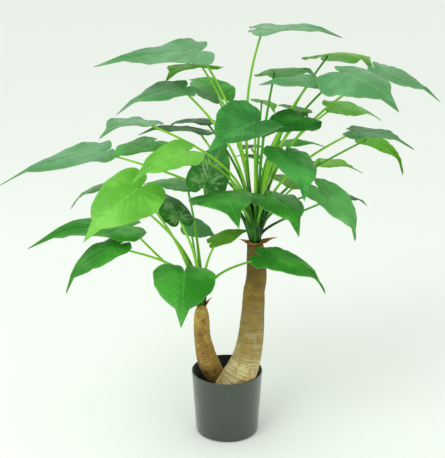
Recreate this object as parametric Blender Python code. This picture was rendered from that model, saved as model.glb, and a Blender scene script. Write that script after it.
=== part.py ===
"""A potted alocasia: two ringed stems in a plain nursery pot, each with a bunch of leaf stalks.

Metres, +Z up, the origin in the middle of the pot's flat underside. The side seen first faces -Y.
"""

from math import cos, exp, pi, radians, sin

import bmesh
import bpy
from mathutils import Vector
from mathutils.bvhtree import BVHTree

# Pot and its fill
POT_HEIGHT = 0.139
POT_TOP_RADIUS = 0.075
POT_BASE_RADIUS = 0.067
POT_WALL = 0.0025
POT_FLOOR = 0.004
POT_SIDES = 32
SOIL_LEVEL = 0.108
SEAT_GAP = 0.0003

# Blade of a leaf
BLADE_THICKNESS = 0.0012
BLADE_ANGLES = (0, 5, 13, 26, 44, 66, 90, 114, 138, 156, 168, 180)
BLADE_RINGS = (0.6, 1.0)
EDGE_WAVE = 0.016

# Leaf stalks
STALK_ROOT_RADIUS = 0.0030
STALK_TIP_RADIUS = 0.0019
STALK_SIDES = 5
STALK_STEPS = 7
STALK_CLEAR = 0.0010
STALK_SEAT = 0.0006
ROOT_SPREAD = {"tall": 0.55, "short": 0.35}

# Stems: height, centre x, centre y and radius of each stage, from the foot up
TALL_STEM = (
    (0.030, -0.004, -0.022, 0.034),
    (0.105, 0.010, -0.027, 0.037),
    (0.121, 0.018, -0.027, 0.037),
    (0.150, 0.031, -0.025, 0.033),
    (0.177, 0.041, -0.022, 0.030),
    (0.220, 0.049, -0.015, 0.027),
    (0.261, 0.053, -0.010, 0.025),
    (0.317, 0.056, -0.005, 0.022),
    (0.343, 0.060, -0.003, 0.0215),
    (0.379, 0.060, 0.000, 0.020),
    (0.421, 0.057, 0.000, 0.0165),
)
SHORT_STEM = (
    (0.030, -0.016, 0.036, 0.018),
    (0.105, -0.024, 0.028, 0.021),
    (0.135, -0.034, 0.016, 0.022),
    (0.167, -0.044, 0.006, 0.021),
    (0.220, -0.052, 0.000, 0.017),
    (0.266, -0.054, 0.000, 0.015),
    (0.282, -0.053, 0.000, 0.010),
)
RING_SPACING = 0.016
RING_HEIGHT = 0.0006

# Each leaf: stem, hub x y z, heading, dip, roll, length, width, droop at the tip, back-lobe bend, arch,
# stalk bow, taper towards the tip, tone. Heading 0 points along +X and -90 at the front; lengths in
# metres, turns in degrees.
LEAVES = (
    ("tall", 0.070, 0.040, 0.855, 356, -5, 0, 0.160, 0.95, 33, -5, 0.02, 1.0, 0.3, "pale"),
    ("tall", -0.058, 0.000, 0.818, 195, 2, -11, 0.205, 0.80, 15, -10, 0.02, 1.0, 0.5, "pale"),
    ("tall", -0.053, 0.060, 0.780, 134, 7, 10, 0.120, 1.00, 52, 15, 0.04, 1.0, 0, "olive"),
    ("tall", -0.091, -0.020, 0.749, 204, 5, -9, 0.142, 0.76, 42, 0, 0.02, 1.0, 0.4, "pale"),
    ("tall", -0.023, 0.140, 0.703, 118, -15, -5, 0.135, 0.70, 30, 15, -0.12, 1.0, 0, "mid"),
    ("tall", -0.158, -0.140, 0.709, 232, -8, 0, 0.120, 0.90, 40, -5, 0.00, 1.0, 0.1, "pale"),
    ("tall", -0.045, 0.110, 0.655, 165, -3, 5, 0.100, 0.90, 68, 15, 0.04, 1.0, 0, "dark"),
    ("tall", -0.150, -0.050, 0.647, 222, 4, -3, 0.112, 0.85, 18, 0, 0.04, 1.0, 0, "mid"),
    ("tall", 0.051, -0.170, 0.714, 227, 6, -20, 0.131, 1.00, 38, 15, -0.13, 1.0, 0, "mid"),
    ("tall", -0.077, -0.170, 0.659, 221, 5, -26, 0.132, 0.63, 60, 15, 0.04, 1.0, 0.1, "bright"),
    ("short", -0.165, -0.180, 0.591, 222, 22, -28, 0.150, 0.88, 45, 15, 0.04, 0.4, 0, "bright"),
    ("tall", -0.260, 0.020, 0.612, 194, 8, -8, 0.212, 0.62, 28, 5, 0.02, 1.0, 0.4, "pale"),
    ("short", -0.255, 0.090, 0.525, 167, 22, 0, 0.105, 0.90, 45, 15, 0.04, 1.0, 0, "mid"),
    ("short", -0.085, 0.100, 0.520, 153, -3, 0, 0.110, 0.90, 30, 15, 0.04, 1.0, 0, "mid"),
    ("tall", -0.031, 0.020, 0.577, 55, -40, 0, 0.075, 0.80, 20, 15, 0.04, 1.0, 0, "dark"),
    ("tall", -0.016, -0.120, 0.563, 287, -5, 4, 0.130, 1.08, 62, 15, 0.04, 1.0, 0, "mid"),
    ("tall", 0.082, -0.090, 0.550, 301, 2, -4, 0.130, 0.95, 75, 15, 0.04, 1.0, 0, "mid"),
    ("tall", 0.150, 0.120, 0.516, 150, -14, 0, 0.080, 0.90, 30, 15, 0.04, 1.0, 0, "olive"),
    ("tall", 0.115, -0.110, 0.640, 295, 22, -12, 0.116, 1.05, 60, 15, 0.04, 1.0, 0, "mid"),
    ("tall", 0.187, -0.060, 0.553, 318, 24, 14, 0.135, 0.62, 90, 15, 0.04, 1.0, 0, "pale"),
    ("tall", 0.240, 0.120, 0.490, 25, 11, 0, 0.080, 0.80, 38, 15, 0.04, 1.0, 0, "dark"),
    ("tall", 0.195, 0.100, 0.569, 33, 12, -26, 0.120, 0.58, 25, 15, 0.04, 1.0, 0.3, "bright"),
    ("tall", 0.115, 0.040, 0.625, 353, -5, 0, 0.085, 0.80, 30, 15, 0.04, 1.0, 0, "mid"),
    ("tall", 0.250, -0.030, 0.665, 340, 0, 5, 0.125, 0.70, 38, 15, 0.04, 1.0, 0.3, "pale"),
    ("tall", 0.292, 0.110, 0.615, 15, 20, -30, 0.125, 0.52, 90, 10, 0.04, 1.0, 0.3, "olive"),
    ("tall", 0.219, 0.070, 0.693, 9, 6, 12, 0.110, 0.76, 38, 15, 0.04, 1.0, 0.15, "bright"),
    ("tall", 0.217, -0.080, 0.788, 315, 8, 14, 0.145, 0.95, 50, 15, 0.12, 1.0, 0, "pale"),
    ("tall", 0.302, 0.000, 0.780, 338, 16, 8, 0.130, 0.68, 30, -10, 0.04, 1.0, 0.2, "pale"),
    ("tall", 0.203, 0.080, 0.795, 325, -15, -11, 0.128, 1.45, 80, 0, 0.04, 1.0, 0, "pale"),
    ("tall", 0.094, 0.050, 0.766, 325, -20, -12, 0.110, 1.20, 60, 15, 0.04, 1.0, 0, "pale"),
    ("tall", 0.160, -0.060, 0.770, 195, -3, -10, 0.105, 0.75, 15, 15, 0.04, 1.0, 0, "pale"),
    ("tall", 0.075, 0.190, 0.681, 56, 20, 0, 0.070, 0.90, 45, 15, 0.04, 1.0, 0, "olive"),
    ("tall", 0.138, 0.115, 0.684, 56, 18, 0, 0.075, 1.10, 45, 15, 0.04, 1.0, 0, "dark"),
    ("tall", 0.141, -0.080, 0.703, 227, 1, -15, 0.115, 0.88, 30, 15, 0.04, 1.0, 0, "dark"),
    ("tall", 0.050, 0.130, 0.595, 112, 6, 0, 0.070, 0.80, 30, 15, 0.04, 1.0, 0, "dark"),
    ("tall", 0.063, 0.100, 0.580, 157, -4, 0, 0.050, 0.70, 30, 15, 0.04, 1.0, 0, "mid"),
    ("short", -0.098, -0.050, 0.494, 113, -30, 12, 0.095, 0.88, 30, 15, 0.04, 1.0, 0, "dark"),
    ("short", -0.080, 0.140, 0.415, 340, 12, 25, 0.068, 0.95, 30, 15, 0.04, 1.0, 0, "pale"),
    ("short", -0.020, -0.090, 0.460, 12, -20, 15, 0.080, 0.62, 30, 15, 0.04, 1.0, 0, "mid"),
    ("short", -0.083, -0.150, 0.415, 270, 16, -5, 0.135, 1.03, 52, 30, 0.04, 1.0, 0, "mid"),
    ("short", 0.077, -0.090, 0.425, 340, 5, 16, 0.151, 0.58, 80, 5, 0.04, 1.0, 0.25, "mid"),
    ("short", -0.197, -0.050, 0.477, 198, -5, -9, 0.210, 0.66, 38, 0, 0.02, 0.2, 0.4, "mid"),
    ("short", -0.224, -0.090, 0.446, 203, 20, -8, 0.140, 0.68, 65, 15, 0.02, 1.0, 0.1, "mid"),
    ("tall", -0.060, 0.050, 0.650, 193, -10, 4, 0.125, 0.80, 38, 15, 0.04, 1.0, 0, "dark"),
    ("tall", -0.044, -0.050, 0.565, 42, -58, 30, 0.105, 0.95, 20, 15, 0.04, 1.0, 0, "dark"),
)

# Sideways and downward steps tried, in this order, until a stalk runs clear of its neighbours
SIDE_STEPS = (0, 8, -8, 16, -16, 24, -24, 34, -34, 46, -46)
BOW_STEPS = (1.0, 0.75, 0.5, 0.25)
DROP_STEPS = (0.012, 0.022, 0.034)

# Dry scraps of leaf base: azimuth, length, rise and width at the root
TALL_SCRAPS = (
    (-8, 0.036, 24, 0.017),
    (-50, 0.018, 40, 0.012),
    (188, 0.022, 25, 0.014),
    (235, 0.014, 45, 0.011),
    (95, 0.024, 45, 0.014),
)
SHORT_SCRAPS = (
    (-15, 0.026, 55, 0.011),
    (185, 0.016, 25, 0.010),
    (80, 0.015, 45, 0.010),
)

TONES = {
    "pale": (0.21, 0.42, 0.24, 1.0),
    "mid": (0.09, 0.34, 0.09, 1.0),
    "bright": (0.20, 0.52, 0.08, 1.0),
    "dark": (0.03, 0.15, 0.04, 1.0),
    "olive": (0.24, 0.36, 0.06, 1.0),
}


def clear_scene():
    for obj in list(bpy.data.objects):
        bpy.data.objects.remove(obj, do_unlink=True)


def material(name, colour, roughness):
    made = bpy.data.materials.new(name)
    made.use_nodes = True
    shader = made.node_tree.nodes["Principled BSDF"]
    shader.inputs["Base Color"].default_value = colour
    shader.inputs["Roughness"].default_value = roughness
    shader.inputs["Metallic"].default_value = 0.0
    made.diffuse_color = colour
    return made


def new_object(name, points, faces, surface, smooth=True):
    mesh = bpy.data.meshes.new(name)
    mesh.from_pydata([tuple(p) for p in points], [], faces)
    shaped = bmesh.new()
    shaped.from_mesh(mesh)
    bmesh.ops.recalc_face_normals(shaped, faces=shaped.faces)
    shaped.to_mesh(mesh)
    shaped.free()
    for polygon in mesh.polygons:
        polygon.use_smooth = smooth
    obj = bpy.data.objects.new(name, mesh)
    obj.data.materials.append(surface)
    bpy.context.scene.collection.objects.link(obj)
    return obj


def leaf_frame(leaf):
    """Hub, midrib direction, left-hand direction and upward direction of a leaf."""
    hub = Vector(leaf[1:4])
    heading, dip, roll = (radians(v) for v in leaf[4:7])
    level = Vector((cos(heading), sin(heading), 0.0))
    midrib = level * cos(dip) - Vector((0.0, 0.0, 1.0)) * sin(dip)
    left = Vector((0.0, 0.0, 1.0)).cross(level)
    up = midrib.cross(left)
    return hub, midrib, left * cos(roll) + up * sin(roll), up * cos(roll) - left * sin(roll)


def edge_reach(degrees):
    """How far the heart-shaped edge stands from the hub, as a share of the length, at an angle."""
    body = 0.42 + 0.32 * exp(-((degrees / 42) ** 1.5)) + 0.26 * exp(-degrees / 2.5)
    notch = 1 - 0.92 * exp(-(((180 - degrees) / 12) ** 1.6))
    back = 1 - 0.60 * (max(0.0, degrees - 90) / 90) ** 1.6
    return body * notch * back


def drooped(along, above, length, turn):
    """A point on a sheet that rolls down more and more towards its tip."""
    share = along / length
    angle = turn * share * share
    out = length * (share - turn**2 * share**5 / 10)
    fall = length * (turn * share**3 / 3 - turn**3 * share**7 / 42)
    return out + above * sin(angle), above * cos(angle) - fall


def bent(along, above, length, turn):
    """A point on a sheet that is rolled down evenly by this turn over this length."""
    if abs(turn) < 1e-6:
        return along, above
    radius = length / turn
    angle = along / radius
    return (radius + above) * sin(angle), above * cos(angle) - radius * (1 - cos(angle))


def blade_point(leaf, phase, degrees, share, above):
    hub, midrib, left, up = leaf_frame(leaf)
    length, width, droop, lobe, arch, _, taper = leaf[7:14]
    edge = edge_reach(abs(degrees))
    reach = edge * share * length
    along = reach * cos(radians(degrees))
    across = reach * sin(radians(degrees)) * width * (1 - taper * max(0.0, along / length))
    height = -arch * length * (across / (0.43 * length)) ** 2
    wave = EDGE_WAVE * length * share**3 * sin(radians(degrees * 5) + phase)
    height += wave * min(1.0, edge * 4)
    if along >= 0:
        x, z = drooped(along, height + above, length, radians(droop))
    else:
        x, z = bent(-along * (1 - taper), height + above, 0.4 * length, radians(lobe))
        x = -x
    return hub + midrib * x + left * across + up * z


def blade(name, leaf, phase, surface):
    """A closed thin heart: the same triangles above and below, joined round the edge."""
    turns = [-a for a in BLADE_ANGLES[:0:-1]] + list(BLADE_ANGLES[:-1])
    count = len(turns)
    points, faces = [], []
    for side in (0.5, -0.5):
        points.append(blade_point(leaf, phase, 0, 0.0, side * BLADE_THICKNESS))
        for share in BLADE_RINGS:
            for turn in turns:
                points.append(blade_point(leaf, phase, turn, share, side * BLADE_THICKNESS))
    layer = 1 + count * len(BLADE_RINGS)
    for start in (0, layer):
        for i in range(count):
            after = (i + 1) % count
            faces.append((start, start + 1 + i, start + 1 + after))
            for ring in range(len(BLADE_RINGS) - 1):
                inner = start + 1 + ring * count
                outer = inner + count
                faces.append((inner + i, outer + i, outer + after))
                faces.append((inner + i, outer + after, inner + after))
    rim = 1 + count * (len(BLADE_RINGS) - 1)
    for i in range(count):
        after = (i + 1) % count
        faces.append((rim + i, layer + rim + i, layer + rim + after))
        faces.append((rim + i, layer + rim + after, rim + after))
    return new_object(name, points, faces, surface)


def tube(rings):
    """Points and faces of a closed tube through these rings of points."""
    sides = len(rings[0])
    points = [p for ring in rings for p in ring]
    faces = [tuple(range(sides)), tuple(range(len(points) - sides, len(points)))]
    for r in range(len(rings) - 1):
        for i in range(sides):
            a, b = r * sides + i, r * sides + (i + 1) % sides
            faces.append((a, b, b + sides))
            faces.append((a, b + sides, a + sides))
    return points, faces


def ring(centre, direction, radius, sides):
    across = Vector((0.0, 1.0, 0.0)).cross(direction)
    if across.length < 0.2:
        across = Vector((1.0, 0.0, 0.0)).cross(direction)
    across.normalize()
    other = direction.cross(across).normalized()
    turns = [2 * pi * i / sides for i in range(sides)]
    return [centre + (across * cos(t) + other * sin(t)) * radius for t in turns]


def stage(table, height):
    """Centre and radius of a stem at a height, eased between the two stages next to it."""
    rows = list(table)
    for k in range(len(rows) - 1):
        if height <= rows[k + 1][0] or k == len(rows) - 2:
            break
    before, low, high = rows[max(k - 1, 0)], rows[k], rows[k + 1]
    after = rows[min(k + 2, len(rows) - 1)]
    t = (height - low[0]) / (high[0] - low[0])
    values = []
    for c in range(1, 4):
        start = (high[c] - before[c]) / max(high[0] - before[0], 1e-6) * (high[0] - low[0])
        end = (after[c] - low[c]) / max(after[0] - low[0], 1e-6) * (high[0] - low[0])
        h = ((1 + 2 * t) * (1 - t) ** 2, t * (1 - t) ** 2, t * t * (3 - 2 * t), t * t * (t - 1))
        values.append(h[0] * low[c] + h[1] * start + h[2] * high[c] + h[3] * end)
    return Vector((values[0], values[1], height)), values[2]


def stem_rings(table, sides, spacing, ridge, extra=0.0):
    """Rings of a swept stem: every second one is a raised growth ring."""
    foot, head = table[0][0], table[-1][0]
    steps = max(2, round((head - foot) / spacing * 2))
    rings = []
    for k in range(steps + 1):
        height = foot + (head - foot) * k / steps
        centre, radius = stage(table, height)
        near, _ = stage(table, min(height + 0.004, head))
        far, _ = stage(table, max(height - 0.004, foot))
        direction = (near - far).normalized() if 0 < k < steps else Vector((0.0, 0.0, 1.0))
        raised = ridge if k % 2 else -ridge
        rings.append(ring(centre, direction, radius + raised + extra, sides))
    return rings


def stem(name, table, sides, surface):
    return new_object(name, *tube(stem_rings(table, sides, RING_SPACING, RING_HEIGHT)), surface)


def lathe(name, profile, sides, surface):
    """A closed body of revolution from radius and height pairs; both ends close on a flat cap."""
    rings = []
    for radius, height in profile:
        turns = [2 * pi * i / sides for i in range(sides)]
        rings.append([Vector((radius * cos(t), radius * sin(t), height)) for t in turns])
    return new_object(name, *tube(rings), surface)


def pot(surface):
    inner = POT_TOP_RADIUS - POT_WALL
    foot = POT_BASE_RADIUS
    profile = (
        (foot - 0.006, 0.0),
        (foot - 0.0018, 0.0012),
        (foot, 0.006),
        (POT_TOP_RADIUS, POT_HEIGHT - 0.001),
        (POT_TOP_RADIUS - 0.0008, POT_HEIGHT),
        (inner + 0.0008, POT_HEIGHT),
        (inner, POT_HEIGHT - 0.001),
        (foot - POT_WALL, POT_FLOOR + 0.002),
        (foot - POT_WALL - 0.002, POT_FLOOR),
    )
    return lathe("pot", profile, POT_SIDES, surface)


def soil(surface, cutters):
    """The fill: a drum just inside the pot, with a plain hole for each stem."""
    low = POT_FLOOR + SEAT_GAP
    wall = POT_WALL + SEAT_GAP + 0.0004
    slope = (POT_TOP_RADIUS - POT_BASE_RADIUS) / (POT_HEIGHT - 0.007)
    bottom = POT_BASE_RADIUS - wall - 0.002
    side = POT_BASE_RADIUS - wall
    top = POT_BASE_RADIUS - wall + slope * (SOIL_LEVEL - 0.006)
    profile = ((bottom, low), (side, low + 0.004), (top, SOIL_LEVEL))
    body = lathe("soil", profile, POT_SIDES, surface)
    for cutter in cutters:
        cut = body.modifiers.new("hole", "BOOLEAN")
        cut.operation = "DIFFERENCE"
        cut.solver = "EXACT"
        cut.object = cutter
    apply_modifiers(body)
    for cutter in cutters:
        bpy.data.objects.remove(cutter, do_unlink=True)
    return body


def apply_modifiers(obj):
    graph = bpy.context.evaluated_depsgraph_get()
    made = bpy.data.meshes.new_from_object(obj.evaluated_get(graph))
    obj.modifiers.clear()
    old = obj.data
    obj.data = made
    bpy.data.meshes.remove(old)


def hole_cutter(name, table, sides, surface):
    """The foot of a stem, a little larger all round and open through the soil's surface."""
    wide = 0.0024
    steps = 8
    low, high = table[0][0] - SEAT_GAP, SOIL_LEVEL + 0.012
    rings = []
    for k in range(steps + 1):
        height = low + (high - low) * k / steps
        centre, radius = stage(table, max(height, table[0][0]))
        centre.z = height
        reach = (radius + RING_HEIGHT) / cos(pi / sides) + wide
        rings.append(ring(centre, Vector((0.0, 0.0, 1.0)), reach, sides))
    return new_object(name, *tube(rings), surface)


def tree_of(objects):
    """One search tree over the faces of several objects."""
    points, faces = [], []
    for obj in objects:
        start = len(points)
        points += [v.co.copy() for v in obj.data.vertices]
        faces += [tuple(start + v for v in p.vertices) for p in obj.data.polygons]
    return BVHTree.FromPolygons(points, faces)


def stalk_path(leaf, root, side, bow, drop):
    """Points of a stalk from its root to just under the hub of its leaf."""
    hub, _, _, up = leaf_frame(leaf)
    end = hub - up * (BLADE_THICKNESS / 2 + STALK_SEAT)
    run = end - root
    flat = Vector((run.x, run.y, 0.0))
    sideways = Vector((-run.y, run.x, 0.0)).normalized() * side * 0.001
    bow = bow * leaf[12]
    first = root + run * ((1 - bow) / 3) + (flat * 0.05 + Vector((0, 0, run.z * 0.5))) * bow + sideways
    last = end - run * ((1 - bow) / 3) - (flat * 0.6 + Vector((0, 0, run.z * 0.22))) * bow + sideways
    last -= up * drop
    path = []
    for k in range(STALK_STEPS + 1):
        t = k / STALK_STEPS
        path.append(
            root * (1 - t) ** 3 + first * (3 * t * (1 - t) ** 2) + last * (3 * t * t * (1 - t)) + end * t**3
        )
    return path


def stalk_rings(leaf, path, extra):
    """Rings of a stalk along its path; the last one lies flat under the hub of the leaf."""
    rings = []
    last = len(path) - 1
    for k, centre in enumerate(path):
        share = k / last
        radius = STALK_ROOT_RADIUS + (STALK_TIP_RADIUS - STALK_ROOT_RADIUS) * share + extra
        direction = (path[min(k + 1, last)] - path[max(k - 1, 0)]).normalized()
        if k == last:
            direction = leaf_frame(leaf)[3]
            radius = STALK_TIP_RADIUS * 0.5 + extra
        rings.append(ring(centre, direction, radius, STALK_SIDES))
    return rings


def crossings(rings, tree):
    """How many faces of a tube cut through the faces of a tree."""
    points, faces = tube(rings)
    return len(BVHTree.FromPolygons(points, faces).overlap(tree))


def stalk(name, leaf, root, own, others, surface):
    """The first course, in the fixed order of steps, that runs clear of everything near it."""
    tries = [(d, b, s) for d in DROP_STEPS for b in BOW_STEPS for s in SIDE_STEPS]
    best = None
    for drop, bow, side in tries:
        path = stalk_path(leaf, root, side, bow, drop)
        wide = stalk_rings(leaf, path, STALK_CLEAR)
        cuts = crossings(wide, others)
        if cuts == 0 or best is None or cuts < best[0]:
            cuts += crossings(stalk_rings(leaf, path, 0.0002)[:-1], own) + crossings(
                stalk_rings(leaf, path, 0.0), own
            )
        if best is None or cuts < best[0]:
            best = (cuts, path, (side, bow, drop))
        if best[0] == 0:
            break
    if best[0]:
        print(name, "still touches", best[0], "faces", best[2])
    return new_object(name, *tube(stalk_rings(leaf, best[1], 0.0)), surface)


def join_all(base, pieces):
    """The base and its pieces made one body."""
    group = bpy.data.collections.new("group")
    bpy.context.scene.collection.children.link(group)
    for piece in pieces:
        bpy.context.scene.collection.objects.unlink(piece)
        group.objects.link(piece)
    union = base.modifiers.new("union", "BOOLEAN")
    union.operation = "UNION"
    union.operand_type = "COLLECTION"
    union.solver = "EXACT"
    union.collection = group
    apply_modifiers(base)
    for piece in list(group.objects):
        bpy.data.objects.remove(piece, do_unlink=True)
    bpy.data.collections.remove(group)
    return base


def crown_base(name, table, radius, height, surface):
    """The short green foot that the stalks of one bunch grow from, on the head of a stem."""
    centre = Vector((table[-1][1], table[-1][2], table[-1][0] + SEAT_GAP))
    up = Vector((0.0, 0.0, 1.0))
    rings = [
        ring(centre, up, radius, 10),
        ring(centre + up * height * 0.5, up, radius * 0.95, 10),
        ring(centre + up * height, up, radius * 0.6, 10),
    ]
    return new_object(name, *tube(rings), surface)


def scrap(root, azimuth, length, rise, width, surface):
    """One curled dry scrap, wide at the root and pointed at the end."""
    out = Vector((cos(radians(azimuth)), sin(radians(azimuth)), 0.0))
    across = Vector((-out.y, out.x, 0.0))
    rings = []
    for share, wide in ((0.0, 1.0), (0.35, 0.85), (0.7, 0.5), (1.0, 0.12)):
        turn = radians(80 + (rise - 80) * share)
        back = out * (0.35 * share * share + 0.65 * share) * length * cos(radians(rise))
        centre = root + back + Vector((0, 0, length * share * (1.25 - 0.25 * share) * sin(radians(rise))))
        normal = Vector((0, 0, 1)) * cos(turn) - out * sin(turn)
        half = across * width * wide / 2
        thick = normal * 0.0006
        under = [centre - half - thick, centre + half - thick]
        rings.append(under + [centre + half + thick, centre - half + thick])
    return new_object("scrap", *tube(rings), surface)


def husk(name, table, inner, outer, scraps, surface):
    """The collar of dried leaf bases round the head of a stem."""
    top = Vector((table[-1][1], table[-1][2], table[-1][0] + SEAT_GAP))
    rings = []
    up = Vector((0.0, 0.0, 1.0))
    for radius, height in ((inner, 0.0), (outer, 0.0), (outer + 0.0006, 0.005), (inner + 0.0006, 0.006)):
        rings.append(ring(top + up * height, up, radius, 12))
    sides = 12
    points = [p for r in rings for p in r]
    faces = []
    for r in range(4):
        for i in range(sides):
            a, b = r * sides + i, r * sides + (i + 1) % sides
            c, d = ((r + 1) % 4) * sides + (i + 1) % sides, ((r + 1) % 4) * sides + i
            faces.append((a, b, c))
            faces.append((a, c, d))
    collar = new_object(name, points, faces, surface)
    middle = (inner + outer) / 2
    pieces = []
    for azimuth, length, rise, width in scraps:
        out = Vector((cos(radians(azimuth)), sin(radians(azimuth)), 0.0))
        pieces.append(scrap(top + out * middle + up * 0.002, azimuth, length, rise, width, surface))
    return join_all(collar, pieces)


def main():
    clear_scene()
    tones = {name: material("leaf_" + name, colour, 0.45) for name, colour in TONES.items()}
    stalk_green = material("stalk_green", (0.22, 0.48, 0.05, 1.0), 0.4)
    bark_tall = material("bark_tall", (0.30, 0.21, 0.10, 1.0), 0.85)
    bark_short = material("bark_short", (0.33, 0.18, 0.07, 1.0), 0.85)
    dry = material("dry_husk", (0.30, 0.09, 0.03, 1.0), 0.9)
    plastic = material("pot_plastic", (0.055, 0.065, 0.06, 1.0), 0.45)
    earth = material("dark_soil", (0.02, 0.015, 0.01, 1.0), 0.95)

    pot(plastic)
    tall = stem("trunk_tall", TALL_STEM, 12, bark_tall)
    short = stem("trunk_short", SHORT_STEM, 10, bark_short)
    cutters = [hole_cutter("cut_a", TALL_STEM, 12, earth), hole_cutter("cut_b", SHORT_STEM, 10, earth)]
    soil(earth, cutters)
    husks = [
        husk("husk_tall", TALL_STEM, 0.0118, 0.0140, TALL_SCRAPS, dry),
        husk("husk_short", SHORT_STEM, 0.0070, 0.0088, SHORT_SCRAPS, dry),
    ]
    number = {"tall": 0, "short": 0}
    names, blades = [], []
    for k, leaf in enumerate(LEAVES):
        number[leaf[0]] += 1
        names.append(f"leaf_{leaf[0]}_{number[leaf[0]]:02d}")
        blades.append(blade(names[-1], leaf, k * 2.4, tones[leaf[-1]]))
    solid = [tall, short] + husks
    for which, table, radius, height in (
        ("short", SHORT_STEM, 0.0064, 0.016),
        ("tall", TALL_STEM, 0.0110, 0.022),
    ):
        base = crown_base("stalks_" + which, table, radius, height, stalk_green)
        crown = Vector((table[-1][1], table[-1][2], table[-1][0] + height * 0.35))
        pieces = []
        for k, leaf in enumerate(LEAVES):
            if leaf[0] != which:
                continue
            away = Vector((leaf[1], leaf[2], 0.0)) - Vector((crown.x, crown.y, 0.0))
            root = crown + away.normalized() * radius * ROOT_SPREAD[which]
            others = tree_of([b for i, b in enumerate(blades) if i != k] + solid)
            own = tree_of([blades[k]])
            pieces.append(stalk("piece_" + names[k], leaf, root, own, others, stalk_green))
        join_all(base, pieces)
        solid.append(base)
    print(len(LEAVES), "leaves,", number)


main()
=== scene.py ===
# %% [markdown]
# # A potted alocasia, leaf by leaf
#
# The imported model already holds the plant's construction: a pot, its soil, two ringed stems, the dry scraps
# round their heads, two bunches of leaf stalks and forty-five heart-shaped leaves. Those solids are plain and
# faceted. This lesson stands a finer piece in the place of each one, from the same measures, and gives each
# piece the finish of the living thing: leaf flesh with veins, ringed stem skin, moulded plastic, dark earth.

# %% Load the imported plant
import random
from math import atan2, cos, degrees, exp, hypot, pi, radians, sin

import bmesh
import bpy
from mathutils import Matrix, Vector, noise
from mathutils.kdtree import KDTree


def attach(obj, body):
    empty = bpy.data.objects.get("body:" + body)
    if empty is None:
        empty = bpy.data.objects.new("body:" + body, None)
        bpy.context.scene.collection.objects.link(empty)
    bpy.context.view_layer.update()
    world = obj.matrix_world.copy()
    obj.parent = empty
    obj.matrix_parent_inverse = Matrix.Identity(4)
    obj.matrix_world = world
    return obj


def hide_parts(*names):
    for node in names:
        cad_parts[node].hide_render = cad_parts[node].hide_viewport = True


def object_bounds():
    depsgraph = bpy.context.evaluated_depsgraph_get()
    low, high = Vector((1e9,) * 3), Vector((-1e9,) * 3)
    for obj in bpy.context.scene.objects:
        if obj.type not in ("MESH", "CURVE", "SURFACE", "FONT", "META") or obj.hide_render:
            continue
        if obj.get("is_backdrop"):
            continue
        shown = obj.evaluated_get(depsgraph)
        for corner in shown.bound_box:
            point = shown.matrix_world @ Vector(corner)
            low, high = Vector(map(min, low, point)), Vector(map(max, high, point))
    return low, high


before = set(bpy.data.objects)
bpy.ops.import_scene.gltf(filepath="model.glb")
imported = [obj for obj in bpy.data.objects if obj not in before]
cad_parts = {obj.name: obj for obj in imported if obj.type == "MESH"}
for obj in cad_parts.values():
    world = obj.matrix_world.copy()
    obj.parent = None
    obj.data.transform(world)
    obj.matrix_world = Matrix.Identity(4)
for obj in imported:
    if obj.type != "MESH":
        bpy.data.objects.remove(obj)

cad_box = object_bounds()
print("packed nodes:", len(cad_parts), "box:", [round(v, 3) for corner in cad_box for v in corner])

# %% [markdown]
# ## The camera
#
# A picture fixes a point of view. This one was worked back from the pot: its rim shows as an ellipse, whose
# height against its width says that the viewer looks down by about 18 degrees, and the way the pot narrows
# says how far off the viewer stands. A long lens from two metres keeps the plant's shape calm.

# %% Stand the camera at the picture's point of view
VIEW_POINT = (-0.0097, -2.135, 1.151)
VIEW_DOWN = 18.1
FOCAL_PIXELS = 1100
PICTURE_HEIGHT = 458
SENSOR = 36.0


def stand(name, data):
    """A new object in the scene that holds a mesh, a camera or a lamp."""
    made = bpy.data.objects.new(name, data)
    bpy.context.scene.collection.objects.link(made)
    return made


view = bpy.data.cameras.new("view")
view.sensor_width = SENSOR
view.lens = SENSOR * FOCAL_PIXELS / PICTURE_HEIGHT
camera = stand("view", view)
camera.location = VIEW_POINT
camera.rotation_euler = (radians(90 - VIEW_DOWN), 0.0, 0.0)
bpy.context.scene.camera = camera
print("lens", round(view.lens, 1), "mm")

# %% [markdown]
# ## Recipes for finishes
#
# Every finish below is a small network of nodes. A few helpers keep them readable: they add a node and join
# its sockets, do arithmetic, fade between two values, mix two colours and make noise. A number that is the
# same all over a surface is typed into the shader itself, because only that survives when the model is
# exported.


# %% Add nodes, join them and do arithmetic
def feed(tree, node, inputs):
    """Gives a node its inputs. Each is a number, a colour, or a socket to join."""
    for key, value in inputs.items():
        if isinstance(value, bpy.types.NodeSocket):
            tree.links.new(value, node.inputs[key])
        else:
            node.inputs[key].default_value = value


def put(tree, kind, inputs, **settings):
    """Adds a shader node."""
    made = tree.nodes.new("ShaderNode" + kind)
    for key, value in settings.items():
        setattr(made, key, value)
    feed(tree, made, inputs)
    return made


def maths(tree, operation, *values):
    """One step of arithmetic on numbers and sockets."""
    return put(tree, "Math", dict(enumerate(values)), operation=operation).outputs[0]


def times(tree, first, second):
    return maths(tree, "MULTIPLY", first, second)


def fade(tree, value, low, high, start=0.0, end=1.0):
    """A smooth change from start to end while value goes from low to high."""
    sockets = {"Value": value, "From Min": low, "From Max": high, "To Min": start, "To Max": end}
    return put(tree, "MapRange", sockets, interpolation_type="SMOOTHSTEP").outputs[0]


def tint(tree, share, first, second):
    """A colour between two colours. Each is a socket or three numbers."""
    first, second = (c if isinstance(c, bpy.types.NodeSocket) else (*c, 1.0) for c in (first, second))
    return put(tree, "Mix", {0: share, 6: first, 7: second}, data_type="RGBA").outputs[2]


def darker(colour, share):
    """The same colour with only a share of its light."""
    return [c * share for c in colour]


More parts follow.
